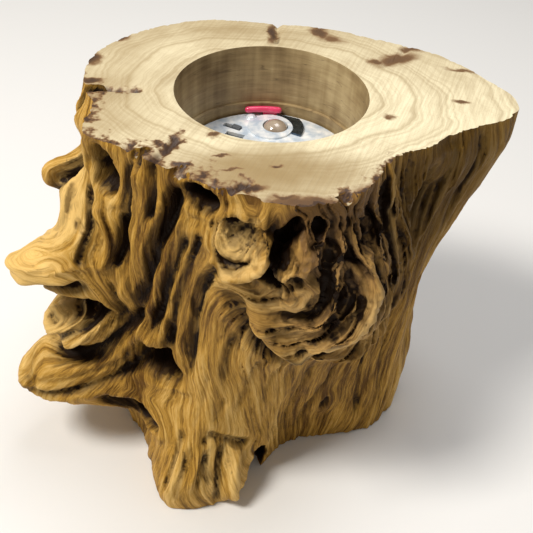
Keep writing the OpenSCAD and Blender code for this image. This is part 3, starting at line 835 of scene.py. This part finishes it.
def newGroup(name, inputs, outputs):
    group = bpy.data.node_groups.new(name, "ShaderNodeTree")
    for socketName, kind, value in inputs:
        socket = group.interface.new_socket(socketName, in_out="INPUT", socket_type=kind)
        if value is not None:
            socket.default_value = value
    for socketName, kind in outputs:
        group.interface.new_socket(socketName, in_out="OUTPUT", socket_type=kind)
    return group, group.nodes.new("NodeGroupInput"), group.nodes.new("NodeGroupOutput")


def addNode(tree, kind, **values):
    node = tree.nodes.new(kind)
    for name, value in values.items():
        setattr(node, name, value)
    return node


def feed(tree, node, inputs):       # numbers and tuples are set, anything else is linked
    for name, value in inputs.items():
        if isinstance(value, (int, float, tuple)):
            node.inputs[name].default_value = value
        else:
            tree.links.new(value, node.inputs[name])
    return node


def math2(tree, operation, a, b, clamp=False):
    node = addNode(tree, "ShaderNodeMath", operation=operation, use_clamp=clamp)
    return feed(tree, node, {0: a, 1: b}).outputs[0]


def vector2(tree, operation, a, b):
    return feed(tree, addNode(tree, "ShaderNodeVectorMath", operation=operation), {0: a, 1: b}).outputs[0]


def lengthOf(tree, vector):
    node = addNode(tree, "ShaderNodeVectorMath", operation="LENGTH")
    return feed(tree, node, {0: vector}).outputs["Value"]


def noiseOf(tree, place, scale, detail=3.0, roughness=0.5):
    noise = addNode(tree, "ShaderNodeTexNoise")
    feed(tree, noise, {"Vector": place, "Scale": scale, "Detail": detail, "Roughness": roughness})
    return noise.outputs["Fac"]


def times(tree, a, b):
    return math2(tree, "MULTIPLY", a, b)


def swing(tree, value, amount):     # noise about a half, made to swing about nothing
    return times(tree, math2(tree, "SUBTRACT", value, 0.5), amount)


def rampNode(tree, value, stops):
    node = addNode(tree, "ShaderNodeValToRGB")
    ramp = node.color_ramp
    while len(ramp.elements) < len(stops):
        ramp.elements.new(0.5)
    for element, (place, colour) in zip(ramp.elements, stops):
        element.position = place
        element.color = (*colour, 1) if len(colour) == 3 else colour
    tree.links.new(value, node.inputs[0])
    return node.outputs[0]


def fadeIn(tree, value, low, high):     # 0 below the low value, 1 above the high one
    return rampNode(tree, value, [(low, (0, 0, 0)), (high, (1, 1, 1))])


def mixColour(tree, factor, a, b):
    node = addNode(tree, "ShaderNodeMix", data_type="RGBA")
    sockets = [s for s in node.inputs if s.enabled]
    for socket, value in zip(sockets, (factor, a, b)):
        if isinstance(value, (int, float)):
            socket.default_value = value
        elif isinstance(value, tuple):
            socket.default_value = (*value, 1)
        else:
            tree.links.new(value, socket)
    return [s for s in node.outputs if s.enabled][0]


fibreNoises = [("Streaks", 1.3, 4, 0.62), ("Threads", 4.6, 3, 0.7), ("Clouds", 0.20, 2, 0.5)]


def makeFibreGroup():       # streaks that run along the grain, and their height
    group, inside, outside = newGroup(
        "woodFibres",
        [("Grain", "NodeSocketVector", None), ("Scale", "NodeSocketFloat", 1.0),
         ("Seed", "NodeSocketFloat", 0.0)],
        [("Streaks", "NodeSocketFloat"), ("Threads", "NodeSocketFloat"), ("Clouds", "NodeSocketFloat")])
    scaled = addNode(group, "ShaderNodeVectorMath", operation="SCALE")
    feed(group, scaled, {0: inside.outputs["Grain"], "Scale": inside.outputs["Scale"]})
    seed = feed(group, addNode(group, "ShaderNodeCombineXYZ"), {i: inside.outputs["Seed"] for i in range(3)})
    moved = vector2(group, "ADD", scaled.outputs[0], seed.outputs[0])
    for name, scale, detail, roughness in fibreNoises:
        group.links.new(noiseOf(group, moved, scale, detail, roughness), outside.inputs[name])
    return group


fibreGroup = makeFibreGroup()


def newMaterial(name):
    material = bpy.data.materials.new(name)
    material.use_nodes = True
    tree = material.node_tree
    shader = tree.nodes["Principled BSDF"]
    return material, tree, shader


def raiseBump(tree, shader, height, strength, distance):
    bump = addNode(tree, "ShaderNodeBump")
    feed(tree, bump, {"Strength": strength, "Distance": distance, "Height": height})
    feed(tree, shader, {"Normal": bump.outputs[0]})


def vertexValue(tree, name, socket="Fac"):
    node = addNode(tree, "ShaderNodeAttribute", attribute_name=name, attribute_type="GEOMETRY")
    return node.outputs[socket]


def placeFibres(tree, grain, scale, seed):
    node = addNode(tree, "ShaderNodeGroup", node_tree=fibreGroup)
    return feed(tree, node, {"Grain": grain, "Scale": scale, "Seed": seed})


def objectMillimetres(tree, scale=(1000, 1000, 1000), turn=0.0):
    place = addNode(tree, "ShaderNodeTexCoord")
    turned = addNode(tree, "ShaderNodeVectorRotate", rotation_type="Z_AXIS")
    feed(tree, turned, {"Angle": math.radians(turn), "Vector": place.outputs["Object"]})
    return vector2(tree, "MULTIPLY", turned.outputs[0], scale)


sideLook = {
    # deep is the colour of the dark fibre streaks and of the painted shade in hollows, grooves and holes
    "deep": (0.017, 0.0065, 0.0009),
    "brown": (0.13, 0.056, 0.004),
    "golden": (0.50, 0.275, 0.045),
    "pale": (0.80, 0.53, 0.18),
    "burlTone": (0.40, 0.24, 0.105),
    "barkTone": (0.085, 0.042, 0.003),
    "bump": 0.6,
}


def makeSideWood():
    material, tree, shader = newMaterial("weatheredRoot")
    hollow, relief, groove, pale, burl, bark = [
        vertexValue(tree, name) for name in ("hollow", "relief", "groove", "pale", "burl", "bark")]
    fibres = placeFibres(tree, vertexValue(tree, "grain", "Vector"), 1.0, 3.0).outputs
    light = math2(tree, "ADD", times(tree, fibres["Clouds"], 0.7), 0.10)
    # relief makes the crests lighter and the low places darker: painted light and shade
    for part in (times(tree, relief, 0.30), swing(tree, fibres["Streaks"], 0.85),
                 swing(tree, fibres["Threads"], 0.6), times(tree, pale, 0.22)):
        light = math2(tree, "ADD", light, part)
    tone = rampNode(tree, light, [(0.22, sideLook["brown"]), (0.50, sideLook["golden"]),
                                  (0.80, sideLook["pale"])])
    tone = mixColour(tree, times(tree, burl, 0.5), tone, sideLook["burlTone"])
    wrinkle = rampNode(tree, fibres["Streaks"], [(0.36, (1, 1, 1)), (0.49, (0, 0, 0))])
    wrinkle = times(tree, wrinkle, math2(tree, "ADD", times(tree, burl, 0.35), 0.2))
    tone = mixColour(tree, wrinkle, tone, sideLook["deep"])
    tone = mixColour(tree, times(tree, bark, 0.75), tone, sideLook["barkTone"])
    # painted shade: darker in hollows, at the bottom of grooves and inside deep holes
    shade = fadeIn(tree, hollow, 0.14, 0.50)
    shade = math2(tree, "MAXIMUM", shade, times(tree, groove, 0.8))
    tone = mixColour(tree, shade, tone, sideLook["deep"])
    feed(tree, shader, {"Base Color": tone, "Roughness": 0.58, "Specular IOR Level": 0.18})
    height = math2(tree, "ADD", times(tree, fibres["Streaks"], 0.5),
                   times(tree, fibres["Threads"], 0.3))
    raiseBump(tree, shader, height, sideLook["bump"], 0.0012)
    return material


sawnLook = {
    "cream": (0.90, 0.81, 0.56),
    "tan": (0.35, 0.25, 0.115),
    "rust": (0.23, 0.12, 0.045),
    "stainAndShade": (0.055, 0.026, 0.012),
    "scratch": (0.33, 0.22, 0.10),
    "pore": (0.30, 0.18, 0.08),
    "bump": 0.35,
}

# Marks on the sawn top: x, y, reach along x, reach along y, turn, strength, in millimetres
sawnMarks = [
    (-35, 19, 3.2, 2.2, 30, 0.8), (-39, 8, 3.0, 3.6, 0, 0.8), (-37, -1.5, 3.2, 1.4, 0, 0.8),
    (-1, 27, 1.3, 6.5, 0, 0.8), (10, 29, 2.4, 4.5, 20, 0.7), (13, 26, 3.5, 2.0, -20, 0.5),
    (27, 18, 7.5, 3.0, 32, 0.6), (24, -7.7, 1.4, 1.4, 0, 0.5), (39, 0.5, 2.2, 1.1, 0, 0.6),
    (31, 24, 4, 2.0, 25, 0.6), (41, 15, 5, 1.0, -10, 0.5), (22, 16, 2.6, 2.0, 0, 0.6),
    (-10, -19, 1.6, 1.2, 20, 0.7), (-8, -26, 2.2, 0.5, 10, 0.7), (2, -28, 1.6, 0.7, 20, 0.8),
    (-6, -30, 2.2, 0.5, 15, 0.6), (-3, -35.5, 4.5, 1.2, 12, 0.9), (-9, -37, 4.0, 2.2, 10, 0.9),
    (8, -38.5, 11, 2.4, 5, 0.65), (19, -33.5, 4.5, 2.6, 25, 0.6), (-21, -30.5, 2.2, 4.6, -28, 0.75),
    (-31, -29, 4.0, 1.6, -35, 0.7), (-26, -27, 1.2, 3.0, -28, 0.6), (4, -37.5, 3, 1.2, 0, 0.7),
]


markDepth = 60      # millimetres up and down, so that only the place on the top counts


def makeMarkGroup():        # soft-edged oval mark, 1 inside and 0 outside
    group, inside, outside = newGroup(
        "sawnMark",
        [("Place", "NodeSocketVector", None), ("Centre", "NodeSocketVector", None),
         ("Reach", "NodeSocketVector", None),
         ("Turn", "NodeSocketFloat", 0.0), ("Strength", "NodeSocketFloat", 1.0)],
        [("Mask", "NodeSocketFloat")])
    away = vector2(group, "SUBTRACT", inside.outputs["Place"], inside.outputs["Centre"])
    turned = addNode(group, "ShaderNodeVectorRotate", rotation_type="Z_AXIS")
    feed(group, turned, {"Vector": away, "Angle": inside.outputs["Turn"]})
    scaled = vector2(group, "DIVIDE", turned.outputs[0], inside.outputs["Reach"])
    soft = addNode(group, "ShaderNodeMapRange", interpolation_type="SMOOTHSTEP")
    feed(group, soft, {"From Min": 1.25, "From Max": 0.2, "Value": lengthOf(group, scaled)})
    group.links.new(times(group, soft.outputs[0], inside.outputs["Strength"]), outside.inputs["Mask"])
    return group


markGroup = makeMarkGroup()


def placeMark(tree, place, values):
    return feed(tree, addNode(tree, "ShaderNodeGroup", node_tree=markGroup), {"Place": place, **values}).outputs[0]


def warpedPlace(tree, place, scale, reach):     # the place pushed about by noise
    noise = noiseOf(tree, place, scale, 4).node
    centred = vector2(tree, "SUBTRACT", noise.outputs["Color"], (0.5, 0.5, 0.5))
    return vector2(tree, "ADD", place, vector2(tree, "MULTIPLY", centred, (reach, reach, 0)))


def makeSawnWood():
    material, tree, shader = newMaterial("sawnTop")
    place = objectMillimetres(tree)
    bent = warpedPlace(tree, place, 0.09, 7)
    split = feed(tree, addNode(tree, "ShaderNodeSeparateXYZ"), {0: bent})
    # tan towards the back and the front middle, cream on the right and the left
    back = fadeIn(tree, times(tree, split.outputs["Y"], 0.02), 0.05, 0.55)
    middle = placeMark(tree, bent, {"Centre": (-2, -31, topHeight), "Reach": (26, 12, markDepth)})
    left = fadeIn(tree, times(tree, split.outputs["X"], -0.02), 0.1, 0.6)
    tanned = math2(tree, "MAXIMUM", times(tree, back, 0.55), times(tree, middle, 0.95))
    tanned = math2(tree, "MAXIMUM", tanned, times(tree, left, 0.62))
    cloud = noiseOf(tree, place, 0.06, 4)
    tanned = math2(tree, "ADD", tanned, swing(tree, cloud, 1.1), True)
    tone = mixColour(tree, tanned, sawnLook["cream"], sawnLook["tan"])
    # growth rings
    flat = vector2(tree, "MULTIPLY", warpedPlace(tree, place, 0.035, 16), (1, 1.25, 0))
    ringPlace = feed(tree, addNode(tree, "ShaderNodeCombineXYZ"), {0: lengthOf(tree, flat)})
    rings = noiseOf(tree, ringPlace.outputs[0], 0.38, 4, 0.65)
    ringMask = fadeIn(tree, rings, 0.46, 0.66)
    tone = mixColour(tree, times(tree, ringMask, 0.62), tone, sawnLook["tan"])
    # saw scratches, in two directions
    saw = noiseOf(tree, objectMillimetres(tree, (70, 1700, 70), -72), 1.0, 3, 0.6)
    cross = noiseOf(tree, objectMillimetres(tree, (45, 1300, 45), 24), 1.0, 3, 0.6)
    scratch = math2(tree, "ADD", saw, times(tree, cross, 0.2))
    scratchMask = rampNode(tree, scratch, [(0.50, (1, 1, 1)), (0.70, (0, 0, 0))])
    scratchMask = times(tree, times(tree, scratchMask, cloud), 0.4)
    tone = mixColour(tree, scratchMask, tone, sawnLook["scratch"])
    pores = noiseOf(tree, place, 2.4, 2, 0.6)
    poreMask = fadeIn(tree, pores, 0.60, 0.74)
    tone = mixColour(tree, times(tree, poreMask, 0.3), tone, sawnLook["pore"])
    # stains and small knots
    marked = None
    rough = warpedPlace(tree, place, 0.45, 3.2)
    for x, y, reachX, reachY, turn, strength in sawnMarks:
        mark = placeMark(tree, rough, {"Centre": (x, y, topHeight), "Reach": (reachX, reachY, markDepth),
                                       "Turn": -math.radians(turn), "Strength": strength})
        marked = mark if marked is None else math2(tree, "MAXIMUM", marked, mark)
    ragged = swing(tree, noiseOf(tree, place, 0.5, 4), 1.6)
    edge = math2(tree, "ADD", vertexValue(tree, "edge"), ragged)
    edge = rampNode(tree, edge, [(0.55, (0, 0, 0)), (0.95, (0.9, 0.9, 0.9))])
    marked = math2(tree, "MAXIMUM", marked, edge)
    tone = mixColour(tree, fadeIn(tree, marked, 0.05, 0.5), tone, sawnLook["rust"])
    tone = mixColour(tree, fadeIn(tree, marked, 0.35, 0.85), tone, sawnLook["stainAndShade"])
    # painted shade in the hollows of the sawn top, in the stain colour
    hollow = vertexValue(tree, "hollow")
    tone = mixColour(tree, fadeIn(tree, hollow, 0.12, 0.5), tone, sawnLook["stainAndShade"])
    feed(tree, shader, {"Base Color": tone, "Roughness": 0.5})
    height = math2(tree, "SUBTRACT", scratch, times(tree, marked, 0.5))
    raiseBump(tree, shader, height, sawnLook["bump"], 0.0005)
    return material


wellLook = {
    "dark": (0.16, 0.10, 0.04),
    "middle": (0.36, 0.26, 0.125),
    "light": (0.56, 0.44, 0.24),
    "crack": (0.07, 0.04, 0.02),
    "bump": 0.2,
}


def makeWellWood():
    material, tree, shader = newMaterial("boredWell")
    place = objectMillimetres(tree)
    cloud = noiseOf(tree, place, 0.09, 4)
    lines = noiseOf(tree, objectMillimetres(tree, (110, 110, 900)), 1.0, 4, 0.6)
    upright = noiseOf(tree, objectMillimetres(tree, (900, 900, 50)), 0.6, 3)
    light = math2(tree, "ADD", times(tree, cloud, 0.8), times(tree, lines, 0.35))
    light = math2(tree, "ADD", light, swing(tree, upright, 0.35))
    tone = rampNode(tree, light, [(0.35, wellLook["dark"]), (0.60, wellLook["middle"]),
                                  (0.82, wellLook["light"])])
    crack = rampNode(tree, noiseOf(tree, objectMillimetres(tree, (30, 30, 500)), 1.0, 2),
                     [(0.492, (0, 0, 0)), (0.5, (1, 1, 1)), (0.508, (0, 0, 0))])
    tone = mixColour(tree, times(tree, crack, 0.5), tone, wellLook["crack"])
    feed(tree, shader, {"Base Color": tone, "Roughness": 0.5})
    raiseBump(tree, shader, light, wellLook["bump"], 0.0004)
    return material


def dressRoot(body):
    for make in (makeSideWood, makeSawnWood, makeWellWood):
        body.data.materials.append(make())
    count = len(body.data.polygons)
    centres, normals = np.empty(count * 3), np.empty(count * 3)
    body.data.polygons.foreach_get("center", centres)
    body.data.polygons.foreach_get("normal", normals)
    centres, normals = centres.reshape(-1, 3) * 1000, normals.reshape(-1, 3)
    radius = np.hypot(centres[:, 0], centres[:, 1])
    well = (radius < rootShape["wellRadius"] + 0.12) & (centres[:, 2] > rootShape["seatHeight"] - 0.2)
    sawn = (centres[:, 2] > rootShape["topHeight"] - 1.6) & (normals[:, 2] > 0.6) & ~well
    body.data.polygons.foreach_set("material_index", np.where(well, 2, np.where(sawn, 1, 0)).astype(np.int32))
    body.data.polygons.foreach_set("use_smooth", np.ones(count, bool))
    body.data.update()
    pickOnly(body)
    bpy.ops.object.shade_smooth_by_angle(angle=math.radians(50))
    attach(body, "holder")
    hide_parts("root_body")


dressRoot(root)
print("root dressed")


# Light in the well: finishes for the pieces that stay as they come

lightFinishes = {       # colour, darker colour, metallic, roughness, grain scale, coat
    # polished_plate: the near-white and blue-grey patches are a painted reflection of a bright cool light and dark
    # surroundings
    "polished_plate": ((0.97, 0.99, 1.0), (0.50, 0.60, 0.72), 0.15, 0.2, 0.45, 0.6),
    "white_plastic": ((0.80, 0.80, 0.77), (0.72, 0.71, 0.67), 0.0, 0.42, 1.2, 0.0),
    "steel": ((0.68, 0.69, 0.71), (0.48, 0.49, 0.52), 1.0, 0.28, 1.5, 0.0),
    "contact_brass": ((0.78, 0.58, 0.25), (0.55, 0.36, 0.12), 1.0, 0.3, 1.5, 0.0),
    "board_green": ((0.03, 0.16, 0.06), (0.015, 0.09, 0.03), 0.0, 0.35, 0.8, 0.3),
    "black_plastic": ((0.025, 0.025, 0.027), (0.012, 0.012, 0.013), 0.0, 0.45, 2.0, 0.0),
    "led_yellow": ((0.85, 0.62, 0.12), (0.70, 0.45, 0.06), 0.0, 0.35, 1.5, 0.3),
    # clear_lens: the brown is a painted reflection of the wood around the lens
    "clear_lens": ((0.46, 0.38, 0.30), (0.26, 0.20, 0.15), 0.0, 0.08, 0.35, 1.0),
    "grey_plastic": ((0.13, 0.14, 0.16), (0.07, 0.08, 0.09), 0.0, 0.38, 1.8, 0.0),
    "blued_steel": ((0.11, 0.16, 0.22), (0.05, 0.07, 0.10), 1.0, 0.28, 0.9, 0.0),
    "pink_plastic": ((0.86, 0.07, 0.19), (0.74, 0.04, 0.13), 0.0, 0.18, 0.5, 0.6),
}


def makeFinish(name, colour, darker, metallic, roughness, scale, coat):
    material, tree, shader = newMaterial(name)
    place = objectMillimetres(tree)
    cloud = noiseOf(tree, place, scale, 4)
    # patches of the darker colour; on the polished plate they are painted reflection
    mottled = mixColour(tree, fadeIn(tree, cloud, 0.35, 0.68), darker, colour)
    wear = noiseOf(tree, place, scale * 6, 3)
    worn = math2(tree, "ADD", roughness - 0.06, times(tree, wear, 0.12))
    feed(tree, shader, {"Base Color": mottled, "Roughness": worn, "Metallic": metallic,
                        "Coat Weight": coat, "Coat Roughness": 0.05})
    raiseBump(tree, shader, wear, 0.08, 0.0002)
    return material


finishes = {slot: makeFinish(slot, *values) for slot, values in lightFinishes.items()}
slots = {part["node"]: part["material_slot"] for part in frame["record"]["subparts"]}
for name, node in frame["nodes"].items():
    if name != "root_body":
        node.data.materials.clear()
        node.data.materials.append(finishes[slots[name]])
print("light finished")


# Floor and light

studio = {
    "floorSize": 4,
    "floorDrop": 0.0003,
    "floorColour": (0.86, 0.86, 0.86),
    "lamps": {      # place, what it shines on, size, power, colour
        "keyLamp": ((-0.30, -0.16, 0.56), (0, 0, 0.05), 0.16, 3.3, (1.0, 0.95, 0.87)),
        "topLamp": ((0.10, 0.12, 0.65), (0, 0, 0.08), 0.30, 1.5, (0.97, 0.98, 1.0)),
    },
    "skyColour": (1.0, 0.95, 0.87),
    "skyStrength": 0.26,
}


def layFloor():
    deselectAll()
    bpy.ops.mesh.primitive_plane_add(size=studio["floorSize"], location=(0, 0, -studio["floorDrop"]))
    floor = bpy.context.object
    floor.name = "floor"
    material, tree, shader = newMaterial("paleFloor")
    feed(tree, shader, {"Base Color": (*studio["floorColour"], 1), "Roughness": 0.8})
    floor.data.materials.append(material)


def hangLamp(name, place, aim, size, power, colour):
    lamp = bpy.data.lights.new(name, "AREA")
    lamp.size = size
    lamp.energy = power
    lamp.color = colour
    thing = bpy.data.objects.new(name, lamp)
    bpy.context.scene.collection.objects.link(thing)
    way = Vector(aim) - Vector(place)
    thing.matrix_world = Matrix.Translation(place) @ way.to_track_quat("-Z", "Y").to_matrix().to_4x4()


def lightSky():
    world = bpy.data.worlds.new("studio")
    bpy.context.scene.world = world
    world.use_nodes = True
    background = world.node_tree.nodes["Background"]
    background.inputs["Color"].default_value = (*studio["skyColour"], 1)
    background.inputs["Strength"].default_value = studio["skyStrength"]


layFloor()
for lampName, lampValues in studio["lamps"].items():
    hangLamp(lampName, *lampValues)
lightSky()
bpy.context.scene.view_settings.view_transform = "Standard"
